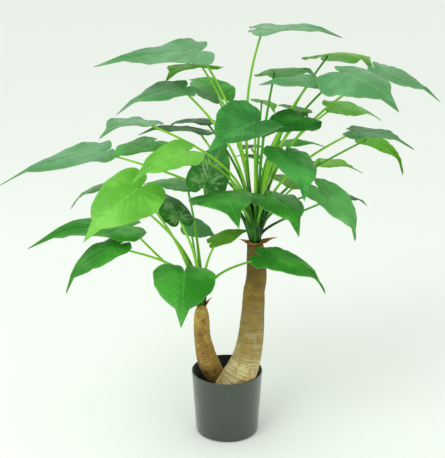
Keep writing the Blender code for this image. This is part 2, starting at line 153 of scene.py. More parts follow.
# %% Start a finish and texture it
def new_finish(name, roughness, specular):
    """A new material, with its nodes and its shader."""
    made = bpy.data.materials.new(name)
    made.use_nodes = True
    tree = made.node_tree
    shader = tree.nodes["Principled BSDF"]
    feed(tree, shader, {"Roughness": roughness, "Specular IOR Level": specular})
    return made, tree, shader


def relief(tree, shader, height, distance):
    """Raises the surface by a height of 0 to 1 over a distance in metres."""
    bump = put(tree, "Bump", {"Height": height, "Distance": distance, "Strength": 1.0})
    feed(tree, shader, {"Normal": bump.outputs[0]})


def place_of(tree, stretch=(1.0, 1.0, 1.0)):
    """The point of the surface itself, so that a pattern stays on the piece from every side."""
    point = put(tree, "TexCoord", {}).outputs["Object"]
    return put(tree, "Mapping", {"Vector": point, "Scale": stretch}).outputs[0]


def carried(tree, name, output="Fac"):
    """What each point of the piece carries under this name."""
    return put(tree, "Attribute", {}, attribute_name=name).outputs[output]


def speckle(tree, vector, scale, detail=4.0, rough=0.55):
    """Soft noise between 0 and 1. The scale is in patches a metre."""
    sockets = {"Vector": vector, "Scale": scale, "Detail": detail, "Roughness": rough}
    return put(tree, "TexNoise", sockets).outputs[0]


# %% [markdown]
# ## A pale studio
#
# The plant stands on a pale floor in light that comes from nearly everywhere, so that shadows are almost gone
# and each leaf shows its own green. A bright surround does most of the work. One large soft lamp from the
# upper left and front gives the leaves their gentle shine. The floor and the lamp are not part of the plant.

# %% Floor, surround and lamp
FLOOR_HALF = 14.0
FLOOR_DROP = 0.0004
FLOOR_COLOUR = (0.86, 0.90, 0.855, 1.0)
SURROUND_COLOUR = (0.98, 1.0, 0.97, 1.0)
SURROUND_LIGHT = 0.97
LAMP_PLACE = Vector((-1.3, -1.7, 2.6))
LAMP_AIM = Vector((0.0, 0.0, 0.5))
LAMP_SIZE = 1.6
LAMP_POWER = 34.0
bpy.context.scene.view_settings.view_transform = "Standard"

floor_shape = bmesh.new()
bmesh.ops.create_grid(floor_shape, x_segments=2, y_segments=2, size=FLOOR_HALF)
floor_mesh = bpy.data.meshes.new("studio_floor")
floor_shape.to_mesh(floor_mesh)
floor_shape.free()
studio_floor = stand("studio_floor", floor_mesh)
studio_floor.location.z = -FLOOR_DROP
studio_floor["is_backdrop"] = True

pale, tree, shader = new_finish("studio_pale", 0.9, 0.2)
feed(tree, shader, {"Base Color": FLOOR_COLOUR})
floor_mesh.materials.append(pale)

surround = bpy.data.worlds.new("surround")
surround.use_nodes = True
tree = surround.node_tree
feed(tree, tree.nodes["Background"], {"Color": SURROUND_COLOUR, "Strength": SURROUND_LIGHT})
bpy.context.scene.world = surround

lamp_light = bpy.data.lights.new("soft_lamp", "AREA")
lamp_light.shape = "DISK"
lamp_light.size = LAMP_SIZE
lamp_light.energy = LAMP_POWER
lamp = stand("soft_lamp", lamp_light)
lamp.location = LAMP_PLACE
lamp.rotation_euler = (LAMP_AIM - LAMP_PLACE).to_track_quat("-Z", "Y").to_euler()
print("lamp:", round((LAMP_AIM - LAMP_PLACE).length, 2), "m from the plant")

# %% [markdown]
# ## The measures of the plant
#
# These are the same measures that the solids were made from. A stem is a row of stages from the foot up, each
# with a height, a centre and a radius. A leaf is one line. It names the stem it grows on, its hub (the point
# where the stalk meets the blade), the way it points, how far it dips and rolls, its length, and its width as
# a share of the length. Then come the turn of its droop, the bend of its back lobes, its arch across, the bow
# of its stalk, how much it narrows towards the tip, and the green it shows.

# %% Pot and stems in numbers
POT_HEIGHT = 0.139
POT_TOP_RADIUS = 0.075
POT_BASE_RADIUS = 0.067
POT_WALL = 0.0025
SOIL_LEVEL = 0.108
SEAT_GAP = 0.0003
BLADE_THICKNESS = 0.0012
EDGE_WAVE = 0.016

# Height, centre x, centre y and radius of each stage
TALL_STEM = (
    (0.030, -0.004, -0.022, 0.034),
    (0.105, 0.010, -0.027, 0.037),
    (0.121, 0.018, -0.027, 0.037),
    (0.150, 0.031, -0.025, 0.033),
    (0.177, 0.041, -0.022, 0.030),
    (0.220, 0.049, -0.015, 0.027),
    (0.261, 0.053, -0.010, 0.025),
    (0.317, 0.056, -0.005, 0.022),
    (0.343, 0.060, -0.003, 0.0215),
    (0.379, 0.060, 0.000, 0.020),
    (0.421, 0.057, 0.000, 0.0165),
)
SHORT_STEM = (
    (0.030, -0.016, 0.036, 0.018),
    (0.105, -0.024, 0.028, 0.021),
    (0.135, -0.034, 0.016, 0.022),
    (0.167, -0.044, 0.006, 0.021),
    (0.220, -0.052, 0.000, 0.017),
    (0.266, -0.054, 0.000, 0.015),
    (0.282, -0.053, 0.000, 0.010),
)
print("stages of the stems:", len(TALL_STEM), "and", len(SHORT_STEM))

# %% Leaves in numbers
# Stem, hub x y z, heading, dip, roll, length, width, droop, then bend, arch, bow and taper, and the tone.
# Heading 0 points along +X and 270 at the front. Lengths are in metres, turns in degrees. A row without
# bend, arch, bow and taper has the usual ones.
USUAL_FORM = (15, 0.04, 1.0, 0)
LEAF_ROWS = (
    ("tall", 0.070, 0.040, 0.855, 356, -5, 0, 0.160, 0.95, 33, -5, 0.02, 1.0, 0.3, "pale"),
    ("tall", -0.058, 0.000, 0.818, 195, 2, -11, 0.205, 0.80, 15, -10, 0.02, 1.0, 0.5, "pale"),
    ("tall", -0.053, 0.060, 0.780, 134, 7, 10, 0.120, 1.00, 52, "olive"),
    ("tall", -0.091, -0.020, 0.749, 204, 5, -9, 0.142, 0.76, 42, 0, 0.02, 1.0, 0.4, "pale"),
    ("tall", -0.023, 0.140, 0.703, 118, -15, -5, 0.135, 0.70, 30, 15, -0.12, 1.0, 0, "mid"),
    ("tall", -0.158, -0.140, 0.709, 232, -8, 0, 0.120, 0.90, 40, -5, 0.00, 1.0, 0.1, "pale"),
    ("tall", -0.045, 0.110, 0.655, 165, -3, 5, 0.100, 0.90, 68, "dark"),
    ("tall", -0.150, -0.050, 0.647, 222, 4, -3, 0.112, 0.85, 18, 0, 0.04, 1.0, 0, "mid"),
    ("tall", 0.051, -0.170, 0.714, 227, 6, -20, 0.131, 1.00, 38, 15, -0.13, 1.0, 0, "mid"),
    ("tall", -0.077, -0.170, 0.659, 221, 5, -26, 0.132, 0.63, 60, 15, 0.04, 1.0, 0.1, "bright"),
    ("short", -0.165, -0.180, 0.591, 222, 22, -28, 0.150, 0.88, 45, 15, 0.04, 0.4, 0, "bright"),
    ("tall", -0.260, 0.020, 0.612, 194, 8, -8, 0.212, 0.62, 28, 5, 0.02, 1.0, 0.4, "pale"),
    ("short", -0.255, 0.090, 0.525, 167, 22, 0, 0.105, 0.90, 45, "mid"),
    ("short", -0.085, 0.100, 0.520, 153, -3, 0, 0.110, 0.90, 30, "mid"),
    ("tall", -0.031, 0.020, 0.577, 55, -40, 0, 0.075, 0.80, 20, "dark"),
    ("tall", -0.016, -0.120, 0.563, 287, -5, 4, 0.130, 1.08, 62, "mid"),
    ("tall", 0.082, -0.090, 0.550, 301, 2, -4, 0.130, 0.95, 75, "mid"),
    ("tall", 0.150, 0.120, 0.516, 150, -14, 0, 0.080, 0.90, 30, "olive"),
    ("tall", 0.115, -0.110, 0.640, 295, 22, -12, 0.116, 1.05, 60, "mid"),
    ("tall", 0.187, -0.060, 0.553, 318, 24, 14, 0.135, 0.62, 90, "pale"),
    ("tall", 0.240, 0.120, 0.490, 25, 11, 0, 0.080, 0.80, 38, "dark"),
    ("tall", 0.195, 0.100, 0.569, 33, 12, -26, 0.120, 0.58, 25, 15, 0.04, 1.0, 0.3, "bright"),
    ("tall", 0.115, 0.040, 0.625, 353, -5, 0, 0.085, 0.80, 30, "mid"),
    ("tall", 0.250, -0.030, 0.665, 340, 0, 5, 0.125, 0.70, 38, 15, 0.04, 1.0, 0.3, "pale"),
    ("tall", 0.292, 0.110, 0.615, 15, 20, -30, 0.125, 0.52, 90, 10, 0.04, 1.0, 0.3, "olive"),
    ("tall", 0.219, 0.070, 0.693, 9, 6, 12, 0.110, 0.76, 38, 15, 0.04, 1.0, 0.15, "bright"),
    ("tall", 0.217, -0.080, 0.788, 315, 8, 14, 0.145, 0.95, 50, 15, 0.12, 1.0, 0, "pale"),
    ("tall", 0.302, 0.000, 0.780, 338, 16, 8, 0.130, 0.68, 30, -10, 0.04, 1.0, 0.2, "pale"),
    ("tall", 0.203, 0.080, 0.795, 325, -15, -11, 0.128, 1.45, 80, 0, 0.04, 1.0, 0, "pale"),
    ("tall", 0.094, 0.050, 0.766, 325, -20, -12, 0.110, 1.20, 60, "pale"),
    ("tall", 0.160, -0.060, 0.770, 195, -3, -10, 0.105, 0.75, 15, "pale"),
    ("tall", 0.075, 0.190, 0.681, 56, 20, 0, 0.070, 0.90, 45, "olive"),
    ("tall", 0.138, 0.115, 0.684, 56, 18, 0, 0.075, 1.10, 45, "dark"),
    ("tall", 0.141, -0.080, 0.703, 227, 1, -15, 0.115, 0.88, 30, "dark"),
    ("tall", 0.050, 0.130, 0.595, 112, 6, 0, 0.070, 0.80, 30, "dark"),
    ("tall", 0.063, 0.100, 0.580, 157, -4, 0, 0.050, 0.70, 30, "mid"),
    ("short", -0.098, -0.050, 0.494, 113, -30, 12, 0.095, 0.88, 30, "dark"),
    ("short", -0.080, 0.140, 0.415, 340, 12, 25, 0.068, 0.95, 30, "pale"),
    ("short", -0.020, -0.090, 0.460, 12, -20, 15, 0.080, 0.62, 30, "mid"),
    ("short", -0.083, -0.150, 0.415, 270, 16, -5, 0.135, 1.03, 52, 30, 0.04, 1.0, 0, "mid"),
    ("short", 0.077, -0.090, 0.425, 340, 5, 16, 0.151, 0.58, 80, 5, 0.04, 1.0, 0.25, "mid"),
    ("short", -0.197, -0.050, 0.477, 198, -5, -9, 0.210, 0.66, 38, 0, 0.02, 0.2, 0.4, "mid"),
    ("short", -0.224, -0.090, 0.446, 203, 20, -8, 0.140, 0.68, 65, 15, 0.02, 1.0, 0.1, "mid"),
    ("tall", -0.060, 0.050, 0.650, 193, -10, 4, 0.125, 0.80, 38, "dark"),
    ("tall", -0.044, -0.050, 0.565, 42, -58, 30, 0.105, 0.95, 20, "dark"),
)

LEAVES = [row if len(row) == 15 else row[:-1] + USUAL_FORM + row[-1:] for row in LEAF_ROWS]

# Leaves are counted stem by stem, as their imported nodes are
number = {"tall": 0, "short": 0}
leaf_nodes = []
for row in LEAVES:
    number[row[0]] += 1
    leaf_nodes.append(f"leaf_{row[0]}_{number[row[0]]:02d}")
print("leaves:", number)

# %% [markdown]
# ## Rolling a sheet
#
# Stems, stalks and leaves all begin as a flat grid. A grid that is rolled up and merged along its seam is a
# tube, and one that is fanned out round a point is a leaf. So one helper makes the grid and asks for the
# place of each of its points, and another turns a finished shape into a piece that rides on the plant.


# %% Helpers that shape and finish a piece
def rolled_tube(shape, sides, steps, place, ends=True):
    """A grid rolled into a tube. place(turn, share) gives a point; the share runs from foot to head."""
    made = bmesh.ops.create_grid(shape, x_segments=sides, y_segments=steps, size=0.5)["verts"]
    for point in made:
        point.co = place(2 * pi * (point.co.x + 0.5), point.co.y + 0.5)
    bmesh.ops.remove_doubles(shape, verts=made, dist=1e-7)
    if ends:
        rims = [edge for edge in shape.edges if edge.is_boundary]
        bmesh.ops.holes_fill(shape, edges=rims, sides=0)


UPRIGHT = Vector((0.0, 0.0, 1.0))


def spoke(turn, reach=1.0, height=0.0):
    """The point at a turn and a reach from the upright axis, and at a height."""
    return Vector((reach * cos(turn), reach * sin(turn), height))


def new_piece(name, shape, finish, slot, *replaced):
    """Writes the shape to a mesh with its faces outwards and seats it on the plant."""
    bmesh.ops.recalc_face_normals(shape, faces=shape.faces)
    for face in shape.faces:
        face.smooth = True
    mesh = bpy.data.meshes.new(name)
    shape.to_mesh(mesh)
    shape.free()
    mesh.materials.append(finish)
    piece = stand(name, mesh)
    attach(piece, "root")
    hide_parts(*replaced)
    return piece


# %% [markdown]
# ## The pot
#
# A nursery pot is blown or moulded in one piece of soft dark plastic: a thin wall, a small roll at the foot
# and a plain edge at the top. It is a body of revolution, so its outline is drawn once and spun. The finish
# is dark grey-green with a satin skin. Its faint cloudiness comes from handling and dust. The inside is
# painted nearly black as shade, and is told from the outside by its distance from the middle of the wall.

# %% The pot's plastic
POT_DEEP = (0.014, 0.024, 0.014)
POT_LIGHT = (0.022, 0.035, 0.021)
POT_INSIDE_SHADE = (0.004, 0.007, 0.004)
POT_DUST = (0.11, 0.12, 0.10)

plastic, tree, shader = new_finish("satin_pot_plastic", 0.36, 1.0)
clouds = speckle(tree, place_of(tree), 22.0)
dust = speckle(tree, place_of(tree, (1.0, 1.0, 0.25)), 160.0, 2.0)
skin = tint(tree, fade(tree, clouds, 0.35, 0.7), POT_DEEP, POT_LIGHT)
point = put(tree, "SeparateXYZ", {0: place_of(tree)}).outputs
reach = maths(tree, "POWER", maths(tree, "ADD", maths(tree, "POWER", point[0], 2.0),
                                   maths(tree, "POWER", point[1], 2.0)), 0.5)
middle = maths(tree, "MULTIPLY_ADD", point[2], (POT_TOP_RADIUS - POT_BASE_RADIUS) / POT_HEIGHT,
               POT_BASE_RADIUS - POT_WALL / 2)
inside = maths(tree, "LESS_THAN", reach, middle)
# The inside of the wall is painted nearly black: painted shade
skin = tint(tree, inside, skin, POT_INSIDE_SHADE)
skin = tint(tree, fade(tree, dust, 0.62, 0.8, 0.0, 0.18), skin, POT_DUST)
satin = maths(tree, "MAXIMUM", fade(tree, clouds, 0.3, 0.7, 0.32, 0.42), inside)
feed(tree, shader, {"Base Color": skin, "Roughness": satin, "Sheen Weight": 0.44,
                    "Sheen Roughness": 0.35, "Sheen Tint": (0.87, 1.0, 0.82, 1.0)})
relief(tree, shader, speckle(tree, place_of(tree), 900.0, 2.0), 0.00008)
print("pot finish:", plastic.name)

# %% Spin the pot's outline
# From the middle of the underside out over the foot, up the wall, over the rim and back down inside
POT_TURNS = 128
POT_OUTLINE = (
    (0.0, 0.0006),
    (POT_BASE_RADIUS - 0.010, 0.0006),
    (POT_BASE_RADIUS - 0.009, 0.0),
    (POT_BASE_RADIUS - 0.0045, 0.0),
    (POT_BASE_RADIUS - 0.0022, 0.0008),
    (POT_BASE_RADIUS - 0.0008, 0.0026),
    (POT_BASE_RADIUS, 0.0060),
    (POT_TOP_RADIUS - 0.0002, POT_HEIGHT - 0.0034),
    (POT_TOP_RADIUS, POT_HEIGHT - 0.0026),
    (POT_TOP_RADIUS, POT_HEIGHT - 0.0007),
    (POT_TOP_RADIUS - 0.0004, POT_HEIGHT - 0.0001),
    (POT_TOP_RADIUS - 0.0011, POT_HEIGHT),
    (POT_TOP_RADIUS - POT_WALL + 0.0005, POT_HEIGHT - 0.0002),
    (POT_TOP_RADIUS - POT_WALL, POT_HEIGHT - 0.0008),
    (POT_BASE_RADIUS - POT_WALL, 0.0060),
    (POT_BASE_RADIUS - POT_WALL - 0.002, 0.0040),
    (0.0, 0.0040),
)


def spun(outline, steps):
    """An outline of radius and height, spun once round the upright axis and closed."""
    shape = bmesh.new()
    line = [shape.verts.new((radius, 0.0, height)) for radius, height in outline]
    edges = [shape.edges.new(pair) for pair in zip(line, line[1:])]
    bmesh.ops.spin(shape, geom=line + edges, axis=(0, 0, 1), cent=(0, 0, 0), angle=2 * pi, steps=steps,
                   use_merge=True)
    bmesh.ops.remove_doubles(shape, verts=shape.verts, dist=1e-6)
    return shape


pot = new_piece("nursery_pot", spun(POT_OUTLINE, POT_TURNS), plastic, "pot_plastic", "pot")
print("pot:", len(pot.data.polygons), "faces")

# %% [markdown]
# ## The soil
#
# Damp potting soil is nearly black and crumbly. Most of it hides behind the rim, but from above and behind it
# shows. It is a spun drum whose top is pushed up and down by noise, and a few hundred small crumbs lie on
# it. A crumb is a coarse ball, squashed and made lumpy at random, because nobody sees more than its outline.

# %% Dark earth
EARTH_DEEP = (0.010, 0.008, 0.005)
EARTH_LIGHT = (0.030, 0.021, 0.013)
EARTH_GRAIN = (0.070, 0.050, 0.030)

earth, tree, shader = new_finish("damp_potting_soil", 0.95, 0.25)
grain = speckle(tree, place_of(tree), 260.0, 6.0, 0.7)
patch = speckle(tree, place_of(tree), 45.0, 3.0)
dark = tint(tree, patch, EARTH_DEEP, EARTH_LIGHT)
feed(tree, shader, {"Base Color": tint(tree, fade(tree, grain, 0.55, 0.8), dark, EARTH_GRAIN)})
relief(tree, shader, grain, 0.0015)
print("soil finish:", earth.name)

# %% Soil bed and crumbs
SOIL_SIDE = POT_BASE_RADIUS - POT_WALL - SEAT_GAP
SOIL_TOP = SOIL_SIDE + (POT_TOP_RADIUS - POT_BASE_RADIUS) * (SOIL_LEVEL - 0.006) / (POT_HEIGHT - 0.006)
SOIL_FOOT = 0.0043
RINGS_OF_SOIL = 22
SOIL_TURNS = 72
CRUMBS = 420
CRUMB_SEED = 11

soil_outline = [(0.0, SOIL_FOOT), (SOIL_SIDE - 0.003, SOIL_FOOT), (SOIL_SIDE, 0.0080),
                (SOIL_TOP, SOIL_LEVEL - 0.002)]
soil_outline += [(SOIL_TOP * (1 - k / RINGS_OF_SOIL), SOIL_LEVEL) for k in range(1, RINGS_OF_SOIL + 1)]
bed = spun(soil_outline, SOIL_TURNS)
for point in bed.verts:
    if point.co.z > SOIL_LEVEL - 0.001:
        point.co.z += 0.0022 * noise.noise(point.co * 60) + 0.0012 * noise.noise(point.co * 170)

chance = random.Random(CRUMB_SEED)
for _ in range(CRUMBS):
    reach = (SOIL_TOP - 0.003) * chance.random() ** 0.5
    turn = chance.random() * 2 * pi
    size = chance.uniform(0.0008, 0.0026)
    crumb = bmesh.ops.create_icosphere(bed, subdivisions=1, radius=size)["verts"]
    for point in crumb:
        point.co *= 1 + 0.5 * noise.noise(point.co * 400 + Vector((turn, reach, 0.0)) * 90)
        point.co.z *= 0.7
    bmesh.ops.translate(bed, verts=crumb, vec=spoke(turn, reach, SOIL_LEVEL + size * 0.3))
soil = new_piece("soil_bed", bed, earth, "dark_soil", "soil")
print("soil:", len(soil.data.polygons), "faces")

# %% [markdown]
# ## Stems
#
# An alocasia's stem is built of old leaf bases. Each dropped leaf leaves a thin ring, so the skin reads as a
# stack of uneven rings with fine wrinkles between, tilted a little where the stem leans. The centre line is
# eased through the measured stages. Each ring is then a shallow ridge with its own tilt and strength, and
# noise breaks it up. The shape is rolled from a fine grid, so the rings are real relief.


# %% The course of a stem
def stage(table, height):
    """Centre and radius of a stem at a height, eased between the two stages next to it."""
    last = len(table) - 2
    k = next((k for k in range(last) if height <= table[k + 1][0]), last)
    before, low, high = table[max(k - 1, 0)], table[k], table[k + 1]
    after = table[min(k + 2, len(table) - 1)]
    t = (height - low[0]) / (high[0] - low[0])
    values = []
    for c in range(1, 4):
        start = (high[c] - before[c]) / max(high[0] - before[0], 1e-6) * (high[0] - low[0])
        end = (after[c] - low[c]) / max(after[0] - low[0], 1e-6) * (high[0] - low[0])
        ease = ((1 + 2 * t) * (1 - t) ** 2, t * (1 - t) ** 2, t * t * (3 - 2 * t), t * t * (t - 1))
        values.append(ease[0] * low[c] + ease[1] * start + ease[2] * high[c] + ease[3] * end)
    return Vector((values[0], values[1], height)), values[2]


def ring(centre, direction, radius, turn):
    """The point of a ring at a turn, square to its direction."""
    across = Vector((0.0, 1.0, 0.0)).cross(direction)
    if across.length < 0.2:
        across = Vector((1.0, 0.0, 0.0)).cross(direction)
    across.normalize()
    other = direction.cross(across).normalized()
    return centre + (across * cos(turn) + other * sin(turn)) * radius


print("radius of the tall stem at 0.3 m:", round(stage(TALL_STEM, 0.3)[1], 4), "m")


# %% Bark with rings
LINES_A_METRE = 380.0
LINE_WOBBLE = 5.0
FLAKE_SCALE = (130.0, 130.0, 420.0)


def stem_finish(name, foot, skin, stain, fleck, low, high, fleck_share, head_share):
    """Stem skin: pale at the foot and browner above, with ring lines, stains and flecks.

    The change runs from the height low to the height high. head_share darkens the skin above that."""
    made, tree, shader = new_finish(name, 0.72, 0.35)
    stem_map = carried(tree, "stem_map", "Vector")
    east, north, rise = put(tree, "SeparateXYZ", {0: stem_map}).outputs

    # Three patterns: fine lines round the stem, broad stains and small flakes
    wobble = times(tree, speckle(tree, stem_map, 45.0, 5.0), LINE_WOBBLE)
    upwards = maths(tree, "ADD", times(tree, rise, LINES_A_METRE), wobble)
    lines = put(tree, "CombineXYZ", {0: times(tree, east, 6.0),
                                     1: times(tree, north, 6.0), 2: upwards}).outputs[0]
    fine = speckle(tree, lines, 1.0, 3.0, 0.6)
    stains = speckle(tree, stem_map, 26.0, 5.0, 0.6)
    flakes = put(tree, "Mapping", {"Vector": stem_map, "Scale": FLAKE_SCALE}).outputs[0]
    spots = speckle(tree, flakes, 1.0, 5.0, 0.7)

    body = tint(tree, fade(tree, rise, low, high), foot, skin)
    stained = fade(tree, rise, low, high, 0.5, 0.9)
    body = tint(tree, fade(tree, stains, 0.44, 0.60, 0.0, stained), body, stain)
    patches = maths(tree, "MULTIPLY_ADD", speckle(tree, stem_map, 48.0, 3.0), 0.9,
                    times(tree, spots, 0.6))
    body = tint(tree, fade(tree, patches, 0.76, 0.90, 0.0, fleck_share), body, fleck)
    body = tint(tree, fade(tree, fine, 0.38, 0.56, 0.5, 0.0), body, darker(stain, 0.42))

    # Dark grooves at the rings, broken here and there and strongest in the young part
    groove = carried(tree, "ring_depth")
    young = fade(tree, rise, high - 0.02, high + 0.07, 0.5, 1.0)
    broken = fade(tree, speckle(tree, stem_map, 70.0, 3.0), 0.40, 0.60, 0.0, young)
    broken = times(tree, fade(tree, groove, 0.05, 0.9), broken)
    body = tint(tree, broken, body, darker(stain, 0.35))
    head = fade(tree, rise, high - 0.04, high + 0.05, 0.0, head_share)
    body = tint(tree, head, body, darker(stain, 0.30))
    feed(tree, shader, {"Base Color": body, "Roughness": fade(tree, spots, 0.3, 0.7, 0.62, 0.85)})
    relief(tree, shader, maths(tree, "ADD", fine, spots), 0.0016)
    return made


tall_bark = stem_finish(
    "ringed_skin_tall", foot=(0.68, 0.60, 0.31), skin=(0.210, 0.136, 0.018),
    stain=(0.320, 0.205, 0.036), fleck=(0.44, 0.27, 0.040),
    low=0.13, high=0.33, fleck_share=0.7, head_share=0.6)
short_bark = stem_finish(
    "ringed_skin_short", foot=(0.48, 0.32, 0.080), skin=(0.60, 0.42, 0.088),
    stain=(0.27, 0.14, 0.026), fleck=(0.15, 0.030, 0.014),
    low=0.12, high=0.26, fleck_share=0.75, head_share=0.0)
print("skins:", tall_bark.name, short_bark.name)


# %% Roll the stems
RING_DEPTH = 0.0005
RING_WIDTH = 0.0011
RING_REACH = 0.004
RING_TILT = 0.05
RING_DRIFT = 0.0012
LUMPS = 0.0011
FOLDS = 0.0004
LOOK_AHEAD = 0.006


def ringed_stem(name, table, sides, steps, spacing, seed, finish, slot, node):
    """A swept stem whose skin is cut by uneven ring lines between low swellings.

    Each point also carries its place on the stem and the depth of its ring line, for the finish."""
    foot, head = table[0][0], table[-1][0]
    chance = random.Random(seed)
    cuts = []
    height = foot
    while height < head:
        cuts.append((height, chance.uniform(-1, 1), chance.uniform(0, 2 * pi), chance.uniform(0.15, 1.0)))
        height += spacing * chance.uniform(0.4, 1.7)
    shape = bmesh.new()
    stem_map = shape.verts.layers.float_vector.new("stem_map")
    ring_depth = shape.verts.layers.float.new("ring_depth")
    places = {}

    def place(turn, share):
        height = foot + (head - foot) * share
        centre, radius = stage(table, height)
        near, _ = stage(table, min(height + LOOK_AHEAD, head))
        far, _ = stage(table, max(height - LOOK_AHEAD, foot))
        direction = (near - far).normalized() if 0 < share < 1 else UPRIGHT
        around = spoke(turn)
        drift = RING_DRIFT * noise.noise(around * 1.3 + Vector((0, 0, height * 60 + seed)))
        depth = 0.0
        for level, tilt, side, strength in cuts:
            away = height - level - tilt * RING_TILT * radius * cos(turn - side) - drift
            if abs(away) < RING_REACH:
                broken = 0.65 + 0.6 * noise.noise(around * 2.1 + Vector((0, 0, level * 50)))
                depth = max(depth, strength * broken * exp(-((away / RING_WIDTH) ** 2)))
        lumps = LUMPS * noise.noise(around * 1.6 + Vector((seed, 0, height * 28)))
        fold = FOLDS * noise.noise(around * 3.5 + Vector((0, seed, height * 240)))
        edge = min(1.0, (1 - share) * 60)
        point = ring(centre, direction, radius + (lumps + fold - RING_DEPTH * depth) * edge, turn)
        places[tuple(round(c, 7) for c in point)] = (around * radius, height, depth)
        return point

    rolled_tube(shape, sides, steps, place)
    for point in shape.verts:
        found = places.get(tuple(round(c, 7) for c in point.co))
        if found:
            point[stem_map] = (found[0].x, found[0].y, found[1])
            point[ring_depth] = found[2]
    return new_piece(name, shape, finish, slot, node)


tall_stem = ringed_stem("stem_tall", TALL_STEM, 56, 230, 0.0060, 3, tall_bark, "bark_tall", "trunk_tall")
short_stem = ringed_stem("stem_short", SHORT_STEM, 40, 150, 0.0058, 8, short_bark, "bark_short",
                         "trunk_short")
print("stems:", len(tall_stem.data.polygons), "and", len(short_stem.data.polygons), "faces")

# %% [markdown]
# ## Leaf flesh
#
# A leaf shows two faces. The upper one is green with a soft shine, and it looks grey-green where it is seen
# at a low angle, because it then mirrors the pale room. The grey-green leaves also have part of that sheen
# painted into their colour. The lower one is duller and more yellow. The veins are laid out on the flat leaf:
# one midrib, side veins that leave it at a slant and curve towards the tip, and a fan of veins from the hub
# into the back lobes. The finish works that out from the point's place on the flat leaf, which each blade
# carries with it. Three leaves are dark green with pale streaks along their veins: painted shade with
# painted highlights.


# %% A finish for leaves
VEIN_SPACING = 0.105
VEIN_LEAN = 0.85
VEIN_CURVE = 1.3
FAN_STEP = radians(24)
MIDRIB_AT_HUB = 0.012
MIDRIB_AT_TIP = 0.004
LEAF_SHINE = 0.22


def vein_lines(tree, along, across):
    """The midrib as a mask, and the distance to the nearest side vein."""
    side = maths(tree, "ABSOLUTE", across)
    lean = times(tree, side, VEIN_LEAN)
    curve = times(tree, times(tree, side, side), VEIN_CURVE)
    start = maths(tree, "SUBTRACT", maths(tree, "SUBTRACT", along, lean), curve)
    front = maths(tree, "PINGPONG", start, VEIN_SPACING / 2)
    turn = maths(tree, "ARCTAN2", side, along)
    far = maths(tree, "SQRT", maths(tree, "ADD", times(tree, along, along),
                                    times(tree, side, side)))
    fan = times(tree, maths(tree, "PINGPONG", turn, FAN_STEP / 2), far)
    back = fade(tree, start, -0.015, 0.0, 1.0, 0.0)
    gap = put(tree, "Mix", {0: back, 2: front, 3: fan}, data_type="FLOAT").outputs[0]
    thin = fade(tree, along, -0.1, 0.95, MIDRIB_AT_HUB, MIDRIB_AT_TIP)
    outside = maths(tree, "SMOOTH_MIN", maths(tree, "DIVIDE", side, thin), 1.0, 0.3)
    midrib = maths(tree, "SUBTRACT", 1.0, outside)
    midrib = maths(tree, "MAXIMUM", times(tree, midrib, fade(tree, along, -0.02, 0.01)), 0.0)
    return midrib, gap


def leaf_finish(name, upper, deep, rib, under, roughness, painted_vein_highlights=0.0):
    """Leaf flesh: two greens above, the rib's green, the green below, and the strength of the pale streaks
    painted as highlights along the veins.
    """
    made, tree, shader = new_finish(name, roughness, LEAF_SHINE)
    blade_map = carried(tree, "blade_map", "Vector")
    along, across, below = put(tree, "SeparateXYZ", {0: blade_map}).outputs
    share = carried(tree, "blade_share")
    midrib, gap = vein_lines(tree, along, across)
    line = fade(tree, gap, 0.002, 0.011, 1.0, 0.0)
    valley = fade(tree, gap, 0.0, VEIN_SPACING * 0.45, 1.0, 0.0)
    broad = speckle(tree, place_of(tree), 16.0, 2.0)
    mottle = speckle(tree, place_of(tree), 60.0, 4.0)
    shade = maths(tree, "ADD", broad, times(tree, valley, 0.04))

    # The upper face
    top = tint(tree, fade(tree, shade, 0.36, 0.64), upper, deep)
    top = tint(tree, fade(tree, mottle, 0.48, 0.72, 0.0, 0.4), top, deep)
    # Pale streaks along the veins of dark leaves: painted highlights
    if painted_vein_highlights:
        smear = maths(tree, "ADD", gap, times(tree, maths(tree, "SUBTRACT", mottle, 0.5), 0.24))
        inner = times(tree, fade(tree, share, 0.60, 0.95, painted_vein_highlights, 0.0),
                      fade(tree, broad, 0.30, 0.55))
        top = tint(tree, times(tree, fade(tree, smear, -0.02, 0.04, 1.0, 0.0), inner), top, rib)
    else:
        top = tint(tree, times(tree, line, 0.09), top, darker(deep, 0.55))
    top = tint(tree, times(tree, midrib, 0.55), top, rib)
    top = tint(tree, fade(tree, share, 0.965, 1.0, 0.0, 0.35), top, rib)

    # The lower face, and which of the two a point is on
    bottom = tint(tree, fade(tree, mottle, 0.35, 0.7, 0.0, 0.5), under, darker(under, 0.72))
    bottom = tint(tree, maths(tree, "MAXIMUM", midrib, times(tree, line, 0.4)), bottom, rib)
    dull = fade(tree, mottle, 0.3, 0.7, roughness - 0.05, roughness + 0.08)
    feed(tree, shader, {"Base Color": tint(tree, below, top, bottom), "Roughness": dull})
    crinkle = times(tree, mottle, 0.28)
    relief(tree, shader, maths(tree, "SUBTRACT", crinkle, times(tree, valley, 0.30)), 0.0011)
    return made


